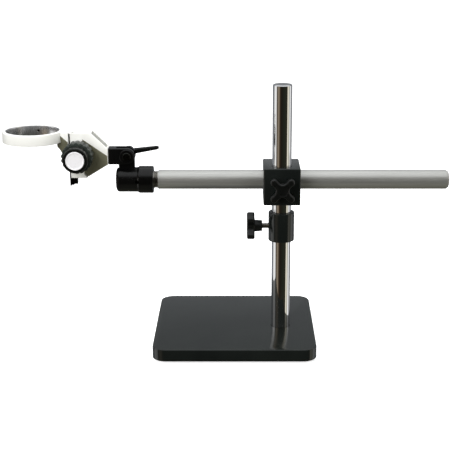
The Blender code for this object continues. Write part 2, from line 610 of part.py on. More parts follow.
def slide_rail_and_rack():
    """Slide bar: a wide plate outside the body with a tongue in its groove; the rack is on the tongue."""
    tongue, plate, step = RAIL_HALF, RAIL_PLATE_HALF, BODY_LEFT - GAP
    outline = [(RAIL_LEFT, -plate), (step, -plate), (step, -tongue), (RAIL_RIGHT, -tongue), (RAIL_RIGHT,
                                                                                             tongue),
               (step, tongue), (step, plate), (RAIL_LEFT, plate)]
    bar = prism_mesh([(x, ARM_Y + y) for x, y in outline], RAIL_BOTTOM, RAIL_TOP)
    rail = add("slide_rail", bar, (0, 0, 0), "dark_steel")
    add("rack", side_prism(rack_profile(), ARM_Y - RACK_HALF, ARM_Y + RACK_HALF), (0, 0, 0), "steel")
    for level in RAIL_SCREWS.values():
        cut_hole(rail, 0.0018, (RAIL_LEFT - 0.001, ARM_Y, level), TO_X, 0.0048, 12)
    cut_hole(rail, 0.0023, (RAIL_RIGHT - 0.0035, ARM_Y, STOP_Z), TO_X, 0.02, 12)
    screw = [(0, 0), (0.0020, 0), (0.0020, 0.0036), (0.0055, 0.0036), (0.0058, 0.0041), (0.0058, 0.0076),
             (0.0052, 0.0082), (0, 0.0082)]
    turned("slide_stop_screw", screw, (RAIL_RIGHT - 0.0033, ARM_Y, STOP_Z), "dark_steel", TO_X, 20)


def pinion_outline():
    """Teeth with straight flanks: half widths at root, pitch line and tip."""
    root, tip = PITCH_RADIUS - 1.15 * MODULE, PITCH_RADIUS + 0.85 * MODULE
    widths = [(root, 0.00100), (PITCH_RADIUS, 0.00062), (tip, 0.00028)]
    points = []
    for tooth in range(PINION_TEETH):
        middle = math.pi + 2 * math.pi * tooth / PINION_TEETH
        for radius, half in widths:
            points.append((radius, middle - half / radius))
        for radius, half in reversed(widths):
            points.append((radius, middle + half / radius))
    return [(radius * math.cos(angle), radius * math.sin(angle)) for radius, angle in points]


def pinion_shaft():
    bm = prism_mesh(pinion_outline(), -RACK_HALF + 0.0002, RACK_HALF - 0.0002)
    shaft = add("pinion_shaft", bm, (PINION_X, ARM_Y, PINION_Z), "steel", TO_REAR)
    reach = ARM_Y - BODY_FRONT + 0.030
    rod = turned("pinion_shaft_rod", rod_profile(SHAFT_RADIUS, 2 * reach), (PINION_X, ARM_Y - reach,
                                                                            PINION_Z),
                 "steel", TO_REAR, 20)
    shape(shaft, rod, "UNION")
    for name, turn in (("front", TO_FRONT), ("rear", TO_REAR)):
        along = turn @ Vector((0, 0, 1))
        start = RACK_HALF + 0.0012
        length = (BODY_REAR - ARM_Y) - start
        turned(f"pinion_bushing_{name}", ring_profile(SHAFT_RADIUS + 0.00005, BUSHING_RADIUS, length, 0.0003),
               Vector((PINION_X, ARM_Y, PINION_Z)) + along * start, "brass", turn, 20)


def fluted_outline(radius, depth, per_flute=4):
    points = []
    for step in range(FLUTES * per_flute):
        angle = 2 * math.pi * step / (FLUTES * per_flute)
        hollow = abs(math.sin(FLUTES * angle / 2))
        reach = radius - depth * (1 - hollow) ** 1.3
        points.append((reach * math.cos(angle), reach * math.sin(angle)))
    return points


def focus_knob(side, turn):
    """Scalloped grip next to the body, plain round front with a white cap let into it."""
    along = turn @ Vector((0, 0, 1))
    seat = Vector((PINION_X, ARM_Y, PINION_Z)) + along * (BODY_REAR - ARM_Y + 0.0035)
    bm = prism_mesh(fluted_outline(GRIP_RADIUS, 0.0016), 0, GRIP_LENGTH)
    knob = add(f"focus_knob_{side}", bm, seat, "knob_rubber", turn)
    front = turned(f"focus_knob_{side}_front", rod_profile(FRONT_RADIUS, KNOB_LENGTH - GRIP_LENGTH + 0.002,
                                                           0.0016),
                   seat + along * (GRIP_LENGTH - 0.002), "knob_rubber", turn, 32)
    shape(knob, front, "UNION")
    cut_hole(knob, CAP_RADIUS + 0.0004, seat + along * (KNOB_LENGTH - CAP_SEAT), turn, 0.01, 32)
    cut_hole(knob, SHAFT_RADIUS + 0.0001, seat - along * 0.001, turn, 0.029, 20)
    cap = [(0, 0), (CAP_RADIUS, 0), (CAP_RADIUS, 0.0022), (0.0128, 0.0028), (0.0118, 0.0028), (0.0112,
                                                                                               0.0022),
           (0, 0.0022)]
    turned(f"knob_cap_{side}", cap, seat + along * (KNOB_LENGTH - CAP_SEAT + GAP), "white_plastic", turn, 32)


def tension_collar():
    turned("tension_collar", ring_profile(SHAFT_RADIUS + GAP, 0.0150, 0.0028, 0.0004),
           (PINION_X, BODY_REAR + GAP, PINION_Z), "knob_rubber", TO_REAR, 24)


# Head ring

def bracket_mesh(right, bottom):
    """Bracket between ring and slide: its underside curves from the ring down to the heel."""
    start = Vector((-0.3400, bottom + 0.0002))
    control = Vector((-0.3215, bottom - 0.0050))
    end = Vector((-0.3185, bottom - 0.0250))
    steps = 6
    curve = []
    for step in range(steps + 1):
        share = step / steps
        point = start * (1 - share) ** 2 + control * 2 * share * (1 - share) + end * share ** 2
        curve.append((point.x, point.y))
    top = RING_TOP - 0.0002
    outline = [(start.x, top)] + curve + [(-0.3180, BRACKET_HEEL), (right, BRACKET_HEEL), (right, top)]
    bm = side_prism(outline, BODY_FRONT, BODY_REAR)
    slope_flanks(bm, (-0.3241, BASE_TOP + 0.2879), (right, BASE_TOP + 0.2750), (-0.3180, BRACKET_HEEL),
                 0.0080)
    return bm


def ring_carrier():
    """Ring for the optical head and its bracket, one casting, with the holes for their screws."""
    chamfer = 0.001
    bottom = RING_TOP - RING_HEIGHT
    right = RAIL_LEFT - GAP
    profile = [(RING_BORE + chamfer, 0), (RING_OUTER - chamfer, 0), (RING_OUTER, chamfer),
               (RING_OUTER, RING_HEIGHT - chamfer), (RING_OUTER - chamfer, RING_HEIGHT),
               (RING_BORE + chamfer, RING_HEIGHT), (RING_BORE, RING_HEIGHT - chamfer), (RING_BORE, chamfer)]
    ring = turned("ring_carrier", profile, (RING_X, ARM_Y, bottom), "white_enamel", steps=48)
    shape(ring, add("ring_carrier_bracket", bracket_mesh(right, bottom), (0, 0, 0), "white_enamel"), "UNION")
    cut_hole(ring, RING_BORE, (RING_X, ARM_Y, bottom - 0.01), TO_TOP, 0.04, 48)
    middle = Vector((RING_X, ARM_Y, RING_TOP - RING_HEIGHT / 2))
    out = Matrix.Rotation(RING_SCREW_ANGLE, 4, "Z") @ TO_X
    along = out @ Vector((0, 0, 1))
    cut_hole(ring, 0.0018, middle + along * 0.030, out, 0.03, 12)
    for level in RAIL_SCREWS.values():
        cut_hole(ring, 0.0018, (right - 0.02, ARM_Y, level), TO_X, 0.03, 12)
        cut_hole(ring, 0.0036, (RING_X, ARM_Y, level), TO_X, right - 0.004 - RING_X, 16)
    screw = [(0, 0), (0.0015, 0), (0.0015, 0.0095), (0.0055, 0.0095), (0.0060, 0.0100), (0.0060, 0.0165),
             (0.0055, 0.0170), (0, 0.0170)]
    turned("ring_lock_screw", screw, middle + along * (RING_BORE - 0.0005), "dark_steel", out, 20)


def rail_screws():
    """Cap screws in the carrier's counterbores, threaded into the slide bar."""
    head = RAIL_LEFT - 0.004 - 2 * GAP
    tip = RAIL_LEFT + 0.0034
    for name, level in RAIL_SCREWS.items():
        profile = [(0, head - 0.0028), (0.0028, head - 0.0028), (0.0032, head - 0.0024), (0.0032, head),
                   (0.0015, head), (0.0015, tip), (0, tip)]
        turned(f"rail_screw_{name}", profile, (0, ARM_Y, level), "steel", TO_X, 16)


def stand_on_table():
    """Hangs moving pieces on empties at their joints, and centres the whole stand on the origin."""
    pivot, pinion = (PIVOT_X, ARM_Y, PIVOT_Z), (PINION_X, ARM_Y, PINION_Z)
    axes = {"block_swivel_axis": ((0, 0, ARM_Z), ["cross_block"]),
            "head_tilt_axis": (pivot, ["tilt_fork", "tilt_bolt", "tilt_washer", "focus_body", "gib_screw"]),
            "lever_axis": (pivot, ["lever_insert", "lever_handle", "lever_screw", "lever_spring"]),
            "focus_axis": (pinion, ["pinion_shaft", "focus_knob_front", "focus_knob_rear", "knob_cap_front",
                                    "knob_cap_rear"]),
            "tension_axis": (pinion, ["tension_collar"])}
    for name, (place, pieces) in axes.items():
        axis = bpy.data.objects.new(name, None)
        axis.location = place
        bpy.context.scene.collection.objects.link(axis)
        for piece in pieces:
            child = bpy.data.objects[piece]
            child.parent = axis
            child.location -= Vector(place)
    left, right = RING_X - RING_OUTER, ARM_RIGHT + GAP + PLUG_RISE
    shift = Vector(((left + right) / 2, (BASE_FRONT + BASE_REAR) / 2, 0))
    for item in bpy.data.objects:
        if not item.parent:
            item.location -= shift


def build():
    clear_scene()
    base_plate()
    feet()
    vertical_post()
    post_bolt()
    stop_collar()
    cross_block()
    boom_arm()
    arm_spigot()
    arm_adapter()
    tilt_fork()
    tilt_bolt()
    clamp_lever()
    focus_body()
    gib_screw()
    slide_rail_and_rack()
    pinion_shaft()
    focus_knob("front", TO_FRONT)
    focus_knob("rear", TO_REAR)
    tension_collar()
    ring_carrier()
    rail_screws()
    stand_on_table()


build()
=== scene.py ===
"""Looks of the boom stand: fine meshes, materials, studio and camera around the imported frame."""
import json
import math

import bmesh
import bpy
from mathutils import Matrix, Vector


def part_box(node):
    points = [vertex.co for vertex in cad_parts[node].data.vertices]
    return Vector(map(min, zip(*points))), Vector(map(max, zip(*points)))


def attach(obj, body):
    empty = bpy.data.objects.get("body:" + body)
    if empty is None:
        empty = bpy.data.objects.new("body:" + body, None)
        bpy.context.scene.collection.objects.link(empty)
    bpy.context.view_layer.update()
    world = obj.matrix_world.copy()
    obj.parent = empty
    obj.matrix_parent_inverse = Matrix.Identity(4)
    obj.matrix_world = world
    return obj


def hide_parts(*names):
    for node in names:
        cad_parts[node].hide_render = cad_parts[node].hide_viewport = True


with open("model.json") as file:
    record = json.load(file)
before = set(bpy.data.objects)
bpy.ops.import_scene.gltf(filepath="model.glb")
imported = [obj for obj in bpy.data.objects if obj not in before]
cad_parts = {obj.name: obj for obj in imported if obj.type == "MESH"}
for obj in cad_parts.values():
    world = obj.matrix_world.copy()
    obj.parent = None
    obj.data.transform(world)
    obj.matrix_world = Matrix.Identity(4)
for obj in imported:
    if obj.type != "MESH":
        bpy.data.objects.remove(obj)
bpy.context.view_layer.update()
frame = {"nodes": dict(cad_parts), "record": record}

# Which body and finish each node of the record has
BODY_OF = {node: body for body, nodes in frame["record"]["behaviour"]["bodies"].items() for node in nodes}
SLOT_OF = {row["node"]: row["material_slot"] for row in frame["record"]["subparts"]}

# Directions that turned pieces point along
TO_TOP = Matrix.Identity(4)
TO_X = Matrix.Rotation(math.radians(90), 4, "Y")
TO_LEFT = Matrix.Rotation(math.radians(-90), 4, "Y")
TO_REAR = Matrix.Rotation(math.radians(-90), 4, "X")
TO_FRONT = Matrix.Rotation(math.radians(90), 4, "X")

GAP = 0.0003
SMOOTH_ANGLE = math.radians(32)


def box(node):
    low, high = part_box(node)
    return Vector(low), Vector(high)


def middle(node):
    low, high = box(node)
    return (low + high) / 2


def size(node):
    low, high = box(node)
    return high - low


# The stand's two main axes and the table's height above the feet
POST = middle("vertical_post")
ARM = middle("boom_arm")
PIVOT = middle("tilt_bolt")
BASE_TOP = box("base_plate")[1].z


# Materials

class Nodes:
    """Short calls for one material's node tree."""

    def __init__(self, name):
        self.material = bpy.data.materials.new(name)
        self.material.use_nodes = True
        self.tree = self.material.node_tree
        self.shader = self.tree.nodes["Principled BSDF"]
        self.place = self.add("ShaderNodeTexCoord").outputs["Object"]

    def add(self, kind, **settings):
        node = self.tree.nodes.new(kind)
        for key, value in settings.items():
            setattr(node, key, value)
        return node

    def link(self, source, target):
        self.tree.links.new(source, target)

    def noise(self, scale, stretch=(1, 1, 1), detail=4, distortion=0.0):
        mapping = self.add("ShaderNodeMapping")
        mapping.inputs["Scale"].default_value = stretch
        self.link(self.place, mapping.inputs["Vector"])
        texture = self.add("ShaderNodeTexNoise")
        texture.inputs["Scale"].default_value = scale
        texture.inputs["Detail"].default_value = detail
        texture.inputs["Distortion"].default_value = distortion
        self.link(mapping.outputs["Vector"], texture.inputs["Vector"])
        return texture.outputs["Fac"]

    def spread(self, factor, low, high, start=0.3, end=0.7):
        """Stretches a factor's range start..end over low..high."""
        node = self.add("ShaderNodeMapRange")
        node.inputs["From Min"].default_value = start
        node.inputs["From Max"].default_value = end
        node.inputs["To Min"].default_value = low
        node.inputs["To Max"].default_value = high
        self.link(factor, node.inputs["Value"])
        return node.outputs["Result"]

    def mix(self, factor, first, second):
        node = self.add("ShaderNodeMix", data_type="RGBA")
        node.inputs["A"].default_value = (*first, 1)
        node.inputs["B"].default_value = (*second, 1)
        self.link(factor, node.inputs["Factor"])
        return node.outputs["Result"]

    def bump(self, height, distance, strength=1.0, below=None):
        node = self.add("ShaderNodeBump")
        node.inputs["Distance"].default_value = distance
        node.inputs["Strength"].default_value = strength
        self.link(height, node.inputs["Height"])
        if below is not None:
            self.link(below, node.inputs["Normal"])
        return node.outputs["Normal"]

    def set(self, **values):
        for key, value in values.items():
            self.shader.inputs[key.replace("_", " ")].default_value = value

    def drive(self, socket, source):
        self.link(source, self.shader.inputs[socket])


def painted(name, dark, light, roughness, peel=0.00003, coat=0.3):
    """Enamel: a slow drift of tint, a faint orange peel and a thin clear coat."""
    nodes = Nodes(name)
    nodes.drive("Base Color", nodes.mix(nodes.spread(nodes.noise(22), 0, 1), dark, light))
    nodes.drive("Roughness", nodes.spread(nodes.noise(160, detail=6), roughness - 0.05, roughness + 0.07))
    fine = nodes.bump(nodes.noise(900, detail=2), peel)
    nodes.drive("Normal", nodes.bump(nodes.noise(2600, detail=3), peel * 0.4, below=fine))
    nodes.set(Metallic=0.0, Coat_Weight=coat, Coat_Roughness=0.12, Specular_IOR_Level=0.35)
    return nodes.material


def metal(name, dark, light, roughness, stretch=(1, 1, 1), grain=0.00001, scale=400, metallic=1.0):
    """Machined metal: fine lines along the stretched direction in tint, roughness and height."""
    nodes = Nodes(name)
    lines = nodes.noise(scale, stretch, detail=6)
    nodes.drive("Base Color", nodes.mix(nodes.spread(lines, 0, 1), dark, light))
    slow = nodes.noise(30, detail=3)
    nodes.drive("Roughness", nodes.spread(slow, roughness - 0.03, roughness + 0.05))
    nodes.drive("Normal", nodes.bump(lines, grain))
    nodes.set(Metallic=metallic)
    return nodes.material


def moulded(name, dark, light, roughness, grain=0.00004, scale=1400, coat=0.0):
    """Moulded plastic or rubber with a fine leathery grain."""
    nodes = Nodes(name)
    nodes.drive("Base Color", nodes.mix(nodes.spread(nodes.noise(40, detail=5), 0, 1), dark, light))
    nodes.drive("Roughness", nodes.spread(nodes.noise(220), roughness - 0.06, roughness + 0.08))
    nodes.drive("Normal", nodes.bump(nodes.noise(scale, detail=4), grain))
    nodes.set(Metallic=0.0, Coat_Weight=coat)
    return nodes.material


LOOKS = {
    "black_paint": painted("black_paint_look", (0.006, 0.0075, 0.007), (0.009, 0.011, 0.010), 0.16),
    "gloss_black": painted("gloss_black_look", (0.0015, 0.0015, 0.0015), (0.003, 0.003, 0.003), 0.20, coat=0.1),
    "chrome": metal("chrome_look", (0.72, 0.72, 0.73), (0.80, 0.80, 0.81), 0.06, (1, 1, 0.02), 0.000001, 900),
    "satin_metal": metal("satin_metal_look", (0.47, 0.47, 0.45), (0.57, 0.57, 0.55), 0.32, (0.02, 1, 1), 0.000012,
                         metallic=0.75),
    "steel": metal("steel_look", (0.42, 0.41, 0.39), (0.60, 0.58, 0.54), 0.26),
    "machined": metal("machined_look", (0.62, 0.62, 0.63), (0.76, 0.76, 0.77), 0.22, (1, 1, 12), 0.000008, 200,
                      metallic=0.9),
    "dark_steel": metal("dark_steel_look", (0.025, 0.026, 0.024), (0.055, 0.055, 0.050), 0.36),
    "brass": metal("brass_look", (0.56, 0.40, 0.18), (0.74, 0.56, 0.28), 0.28),
    "white_enamel": painted("white_enamel_look", (0.82, 0.82, 0.79), (0.88, 0.88, 0.85), 0.36, 0.00004, 0.15),
    # Painted shade: a dark olive copy of the white enamel for the cut-back flanks of the neck and the ring's bracket
    "painted_flank_shade": painted("painted_flank_shade_look", (0.125, 0.122, 0.082), (0.165, 0.160, 0.110), 0.40, 0.00004, 0.1),
    # Painted shade: a grey copy of the white enamel for the sunk face on the neck's slope
    "painted_slope_shade": painted("painted_slope_shade_look", (0.28, 0.28, 0.26), (0.34, 0.34, 0.31), 0.40, 0.00004, 0.1),
    "knob_rubber": moulded("knob_rubber_look", (0.014, 0.018, 0.016), (0.026, 0.032, 0.028), 0.42),
    "black_plastic": moulded("black_plastic_look", (0.0025, 0.003, 0.0028), (0.006, 0.0065, 0.006), 0.30),
    "white_plastic": moulded("white_plastic_look", (0.80, 0.79, 0.82), (0.86, 0.85, 0.88), 0.30, 0.00001, coat=0.3),
    "rubber": moulded("rubber_look", (0.014, 0.014, 0.014), (0.026, 0.026, 0.026), 0.78, 0.00006, 900),
}


# Mesh helpers

def shade(obj):
    obj.data.shade_smooth()
    obj.data.set_sharp_from_angle(angle=SMOOTH_ANGLE)


def object_from(bm, name, place=TO_TOP, look=None):
    bmesh.ops.recalc_face_normals(bm, faces=bm.faces)
    bmesh.ops.transform(bm, matrix=place, verts=bm.verts)
    mesh = bpy.data.meshes.new(name)
    bm.to_mesh(mesh)
    bm.free()
    made = bpy.data.objects.new(name, mesh)
    bpy.context.scene.collection.objects.link(made)
    if look:
        mesh.materials.append(look)
    return made


def at(point, turn=TO_TOP):
    return Matrix.Translation(point) @ turn


def rounded(profile, radius, steps=4, closed=False):
    """A profile with its inner corners turned into arcs."""
    count = len(profile)
    made = []
    for index, corner in enumerate(profile):
        if not closed and index in (0, count - 1):
            made.append(tuple(corner))
            continue
        here = Vector(corner)
        before = Vector(profile[index - 1])
        after = Vector(profile[(index + 1) % count])
        reach = min(radius, (before - here).length * 0.45, (after - here).length * 0.45)
        start = here + (before - here).normalized() * reach
        end = here + (after - here).normalized() * reach
        for step in range(steps + 1):
            t = step / steps
            made.append(tuple(start * (1 - t) ** 2 + here * 2 * t * (1 - t) + end * t ** 2))
    return made


def turned_mesh(profile, steps=96):
    """A solid of revolution about Z from (radius, height) points."""
    bm = bmesh.new()
    rings = []
    for radius, height in profile:
        if radius < 1e-7:
            rings.append([bm.verts.new((0, 0, height))])
            continue
        angles = [2 * math.pi * step / steps for step in range(steps)]
        rings.append([bm.verts.new((radius * math.cos(a), radius * math.sin(a), height)) for a in angles])
    pairs = list(zip(rings, rings[1:]))
    if len(rings[0]) > 1 and len(rings[-1]) > 1:
        pairs.append((rings[-1], rings[0]))
    for low, high in pairs:
        for step in range(steps):
            after = (step + 1) % steps
            corners = [low[step % len(low)], low[after % len(low)], high[after % len(high)], high[step % len(high)]]
            bm.faces.new(list(dict.fromkeys(corners)))
    return bm


def turned(name, profile, place, look, steps=96):
    return object_from(turned_mesh(profile, steps), name, place, look)


def rod(radius, length, edge=0.0006):
    return rounded([(0, 0), (radius, 0), (radius, length), (0, length)], edge)


def tube(inner, outer, length, edge=0.0006):
    return rounded([(inner, 0), (outer, 0), (outer, length), (inner, length)], edge, closed=True)


def prism_mesh(outline, low, high):
    bm = bmesh.new()
    face = bm.faces.new([bm.verts.new((x, y, low)) for x, y in outline])
    grown = bmesh.ops.extrude_face_region(bm, geom=[face])
    moved = [item for item in grown["geom"] if isinstance(item, bmesh.types.BMVert)]
    bmesh.ops.translate(bm, verts=moved, vec=(0, 0, high - low))
    return bm


def round_rims(bm, width, segments=4):
    """Rounds the edges round a prism's two ends."""
    ends = sorted(bm.faces, key=lambda face: len(face.verts))[-2:]
    edges = list({edge for face in ends for edge in face.edges})
    bmesh.ops.bevel(bm, geom=edges, offset=width, segments=segments, affect="EDGES", profile=0.5)


def box_mesh(low, high):
    bm = bmesh.new()
    bmesh.ops.create_cube(bm, size=1)
    bmesh.ops.scale(bm, vec=Vector(high) - Vector(low), verts=bm.verts)
    bmesh.ops.translate(bm, vec=(Vector(low) + Vector(high)) / 2, verts=bm.verts)
    return bm


def apply_modifiers(obj):
    graph = bpy.context.evaluated_depsgraph_get()
    mesh = bpy.data.meshes.new_from_object(obj.evaluated_get(graph))
    obj.modifiers.clear()
    obj.data = mesh


def combine(obj, tool, operation):
    """Adds tool to obj or cuts it away, and removes tool."""
    modifier = obj.modifiers.new("combine", "BOOLEAN")
    modifier.operation = operation
    modifier.object = tool
    if operation == "UNION":
        modifier.material_mode = "TRANSFER"
    apply_modifiers(obj)
    bpy.data.objects.remove(tool, do_unlink=True)


def cut_hole(obj, radius, place, length, steps=64):
    combine(obj, turned("tool", [(0, 0), (radius, 0), (radius, length), (0, length)], place, None, steps), "DIFFERENCE")


def cut_box(obj, low, high, place=TO_TOP):
    combine(obj, object_from(box_mesh(low, high), "tool", place), "DIFFERENCE")


def soften(obj, width, segments=3, angle=28):
    """Rounds every edge sharper than angle."""
    bevel = obj.modifiers.new("edges", "BEVEL")
    bevel.width = width
    bevel.segments = segments
    bevel.limit_method = "ANGLE"
    bevel.angle_limit = math.radians(angle)
    bevel.harden_normals = False
    apply_modifiers(obj)


def stand_for(obj, node, *others):
    """The finished piece takes the place of a node and moves with its body."""
    shade(obj)
    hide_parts(node, *others)
    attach(obj, BODY_OF[node])
    return obj


# Base and post

def rounded_rectangle(low, high, radius, steps=14):
    corners = [(high.x - radius, high.y - radius), (low.x + radius, high.y - radius),
               (low.x + radius, low.y + radius), (high.x - radius, low.y + radius)]
    points = []
    for quarter, (x, y) in enumerate(corners):
        for step in range(steps + 1):
            angle = math.radians(90 * (quarter + step / steps))
            points.append((x + radius * math.cos(angle), y + radius * math.sin(angle)))
    return points


def base_plate():
    low, high = box("base_plate")
    post_low, _ = box("vertical_post")
    corner, edge = 0.020, 0.0020
    levels = [(0.0007, low.z), (0, low.z + 0.0007)]
    for step in range(6):
        angle = math.radians(90 * step / 5)
        levels.append((edge * (1 - math.cos(angle)), high.z - edge + edge * math.sin(angle)))
    bm = bmesh.new()
    loops = []
    for inset, height in levels:
        inner_low = Vector((low.x + inset, low.y + inset))
        inner_high = Vector((high.x - inset, high.y - inset))
        outline = rounded_rectangle(inner_low, inner_high, corner - inset)
        loops.append([bm.verts.new((x, y, height)) for x, y in outline])
    for lower, upper in zip(loops, loops[1:]):
        for index in range(len(lower)):
            after = (index + 1) % len(lower)
            bm.faces.new((lower[index], lower[after], upper[after], upper[index]))
    bm.faces.new(loops[0])
    bm.faces.new(loops[-1])
    plate = object_from(bm, "base_plate_fine", look=LOOKS["black_paint"])
    radius = size("vertical_post").x / 2 + GAP
    cut_hole(plate, radius, at((POST.x, POST.y, post_low.z - GAP)), 0.02, 96)
    head = size("post_bolt").x / 2 + 0.0033
    bolt_low, _ = box("post_bolt")
    _, washer_high = box("post_washer")
    cut_hole(plate, head, at((POST.x, POST.y, bolt_low.z - 0.01)), washer_high.z - bolt_low.z + 0.0102)
    cut_hole(plate, 0.0053, at((POST.x, POST.y, low.z)), 0.02, 32)
    for corner_name in ("front_left", "front_right", "rear_left", "rear_right"):
        place = middle(f"foot_{corner_name}")
        _, top = box(f"foot_{corner_name}")
        cut_hole(plate, 0.0045, at((place.x, place.y, 0)), top.z + GAP, 32)
    stand_for(plate, "base_plate")


def feet():
    for corner in ("front_left", "front_right", "rear_left", "rear_right"):
        node = f"foot_{corner}"
        low, high = box(node)
        wide = (high.x - low.x) / 2
        pad = high.z - 0.007
        profile = [(0, 0), (wide - 0.001, 0), (wide, 0.0012), (wide - 0.0005, pad), (0.0042, pad),
                   (0.0042, high.z), (0, high.z)]
        place = middle(node)
        stand_for(turned(f"{node}_fine", rounded(profile, 0.0006), at((place.x, place.y, 0)), LOOKS["rubber"], 48), node)


def vertical_post():
    low, high = box("vertical_post")
    radius = (high.x - low.x) / 2
    length = high.z - low.z
    profile = [(0, 0), (radius - 0.001, 0), (radius, 0.001), (radius, length - 0.0014), (radius - 0.0014, length),
               (0, length)]
    post = turned("vertical_post_fine", rounded(profile, 0.00025, 2), at((POST.x, POST.y, low.z)), LOOKS["chrome"],
                  128)
    cut_hole(post, 0.0053, at((POST.x, POST.y, low.z - 0.001)), 0.031, 32)
    stand_for(post, "vertical_post")


# Clamps

def four_lobes(tip, arc_steps=12, flank_steps=8):
    """Outline of four round lobes on the diagonals, joined by hollow curves."""
    lobe, hollow = 0.227 * tip, 0.427 * tip
    centre_reach = tip - lobe
    arcs = []
    for index in range(4):
        direction = math.radians(45 + 90 * index)
        centre = Vector((math.cos(direction), math.sin(direction))) * centre_reach
        arc = []
        for step in range(arc_steps + 1):
            angle = direction + math.radians(-85 + 170 * step / arc_steps)
            arc.append(centre + Vector((math.cos(angle), math.sin(angle))) * lobe)
        arcs.append(arc)
    points = []
    for index, arc in enumerate(arcs):
        points += arc
        start, end = arc[-1], arcs[(index + 1) % 4][0]
        flank = math.radians(90 * (index + 1))
        waist = Vector((math.cos(flank), math.sin(flank))) * hollow
        control = waist * 2 - (start + end) / 2
        for step in range(1, flank_steps):
            t = step / flank_steps
            points.append(start * (1 - t) ** 2 + control * 2 * t * (1 - t) + end * t ** 2)
    return [tuple(point) for point in points]


def along_box(node, turn):
    """Where a node starts along a turned direction, which way that points and how long it is."""
    low, high = box(node)
    direction = (turn @ Vector((0, 0, 1))).normalized()
    centre = (low + high) / 2
    length = abs((high - low).dot(direction))
    start = centre - direction * length / 2
    return start, direction, length


def clamp_knob(name, turn):
    node = f"{name}_knob"
    start, direction, length = along_box(node, turn)
    lobe_thickness, hub_length = 0.0115, length - 0.0115
    bm = prism_mesh(four_lobes(0.0220), 0, lobe_thickness)
    round_rims(bm, 0.0022)
    knob = object_from(bm, f"{node}_fine", at(start + direction * hub_length, turn), LOOKS["black_plastic"])
    hub_profile = rounded([(0, 0), (0.0080, 0), (0.0088, hub_length), (0.0100, hub_length + 0.002),
                           (0, hub_length + 0.002)], 0.0008)
    hub = turned("hub", hub_profile, at(start, turn), LOOKS["black_plastic"], 64)
    combine(knob, hub, "UNION")
    dish = turned("tool", [(0, -0.0012), (0.0075, -0.0004), (0.0086, 0.001), (0, 0.001)],
                  at(start + direction * length, turn), None, 64)
    combine(knob, dish, "DIFFERENCE")
    cut_hole(knob, 0.0043, at(start - direction * 0.001, turn), 0.011, 32)
    stand_for(knob, node)
    threaded(f"{name}_stud", turn)


def threaded(node, turn, pitch=0.00125):
    """A stud with thread grooves."""
    start, _, length = along_box(node, turn)
    radius = 0.0040
    profile = [(0, 0), (radius - 0.0008, 0)]
    turns = int((length - 0.001) / pitch)
    for step in range(turns):
        profile += [(radius - 0.00065, 0.0005 + step * pitch), (radius, 0.0005 + (step + 0.42) * pitch),
                    (radius, 0.0005 + (step + 0.58) * pitch)]
    profile += [(radius - 0.0008, length), (0, length)]
    stand_for(turned(f"{node}_fine", profile, at(start, turn), LOOKS["steel"], 40), node)


def stop_collar():
    low, high = box("stop_collar")
    radius = (high.x - low.x) / 2
    bore = size("vertical_post").x / 2 + GAP
    length = high.z - low.z
    collar = turned("stop_collar_fine", tube(bore, radius, length, 0.0013), at((POST.x, POST.y, low.z)),
                    LOOKS["black_paint"], 128)
    stud = middle("collar_stud")
    cut_hole(collar, 0.0043, at((POST.x - 0.010, POST.y, stud.z), TO_LEFT), 0.02, 32)
    stand_for(collar, "stop_collar")


def cross_block():
    low, high = box("cross_block")
    bore = size("vertical_post").x / 2 + GAP
    bm = box_mesh(low, high)
    bmesh.ops.bevel(bm, geom=bm.edges[:], offset=0.0019, segments=4, affect="EDGES", profile=0.5)
    block = object_from(bm, "cross_block_fine", look=LOOKS["black_paint"])
    rim = 0.0006
    bores = ((at((POST.x, POST.y, low.z), TO_TOP), high.z - low.z), (at((low.x, ARM.y, ARM.z), TO_X), high.x - low.x))
    for place, length in bores:
        profile = [(0, -0.001), (bore + rim + 0.001, -0.001), (bore, rim), (bore, length - rim),
                   (bore + rim + 0.001, length + 0.001), (0, length + 0.001)]
        combine(block, turned("tool", profile, place, None, 96), "DIFFERENCE")
    cut_hole(block, 0.0043, at((POST.x, POST.y - 0.010, ARM.z), TO_FRONT), 0.02, 32)
    cut_hole(block, 0.0043, at((POST.x, ARM.y + 0.010, ARM.z), TO_REAR), 0.03, 32)
    stand_for(block, "cross_block")


# Boom

def boom():
    low, high = box("boom_arm")
    centre = middle("boom_arm")
    radius = (high.z - low.z) / 2
    start = Vector((low.x, centre.y, centre.z))
    stand_for(turned("boom_arm_fine", tube(radius - 0.003, radius, high.x - low.x, 0.0008), at(start, TO_X),
                     LOOKS["satin_metal"], 96), "boom_arm")
    plug_low, plug_high = box("arm_end_plug")
    inner = radius - 0.003 - GAP
    reach = plug_high.x - high.x
    profile = [(0, plug_low.x), (inner, plug_low.x), (inner, high.x + GAP), (0.0125, high.x + GAP)]
    for step in range(10):
        angle = math.radians(90 * step / 9)
        profile.append((0.0125 * math.cos(angle), plug_high.x - reach * 0.75 * (1 - math.sin(angle))))
    profile[-1] = (0, plug_high.x)
    stand_for(turned("arm_end_plug_fine", profile, at((0, centre.y, centre.z), TO_X), LOOKS["satin_metal"], 72),
              "arm_end_plug")


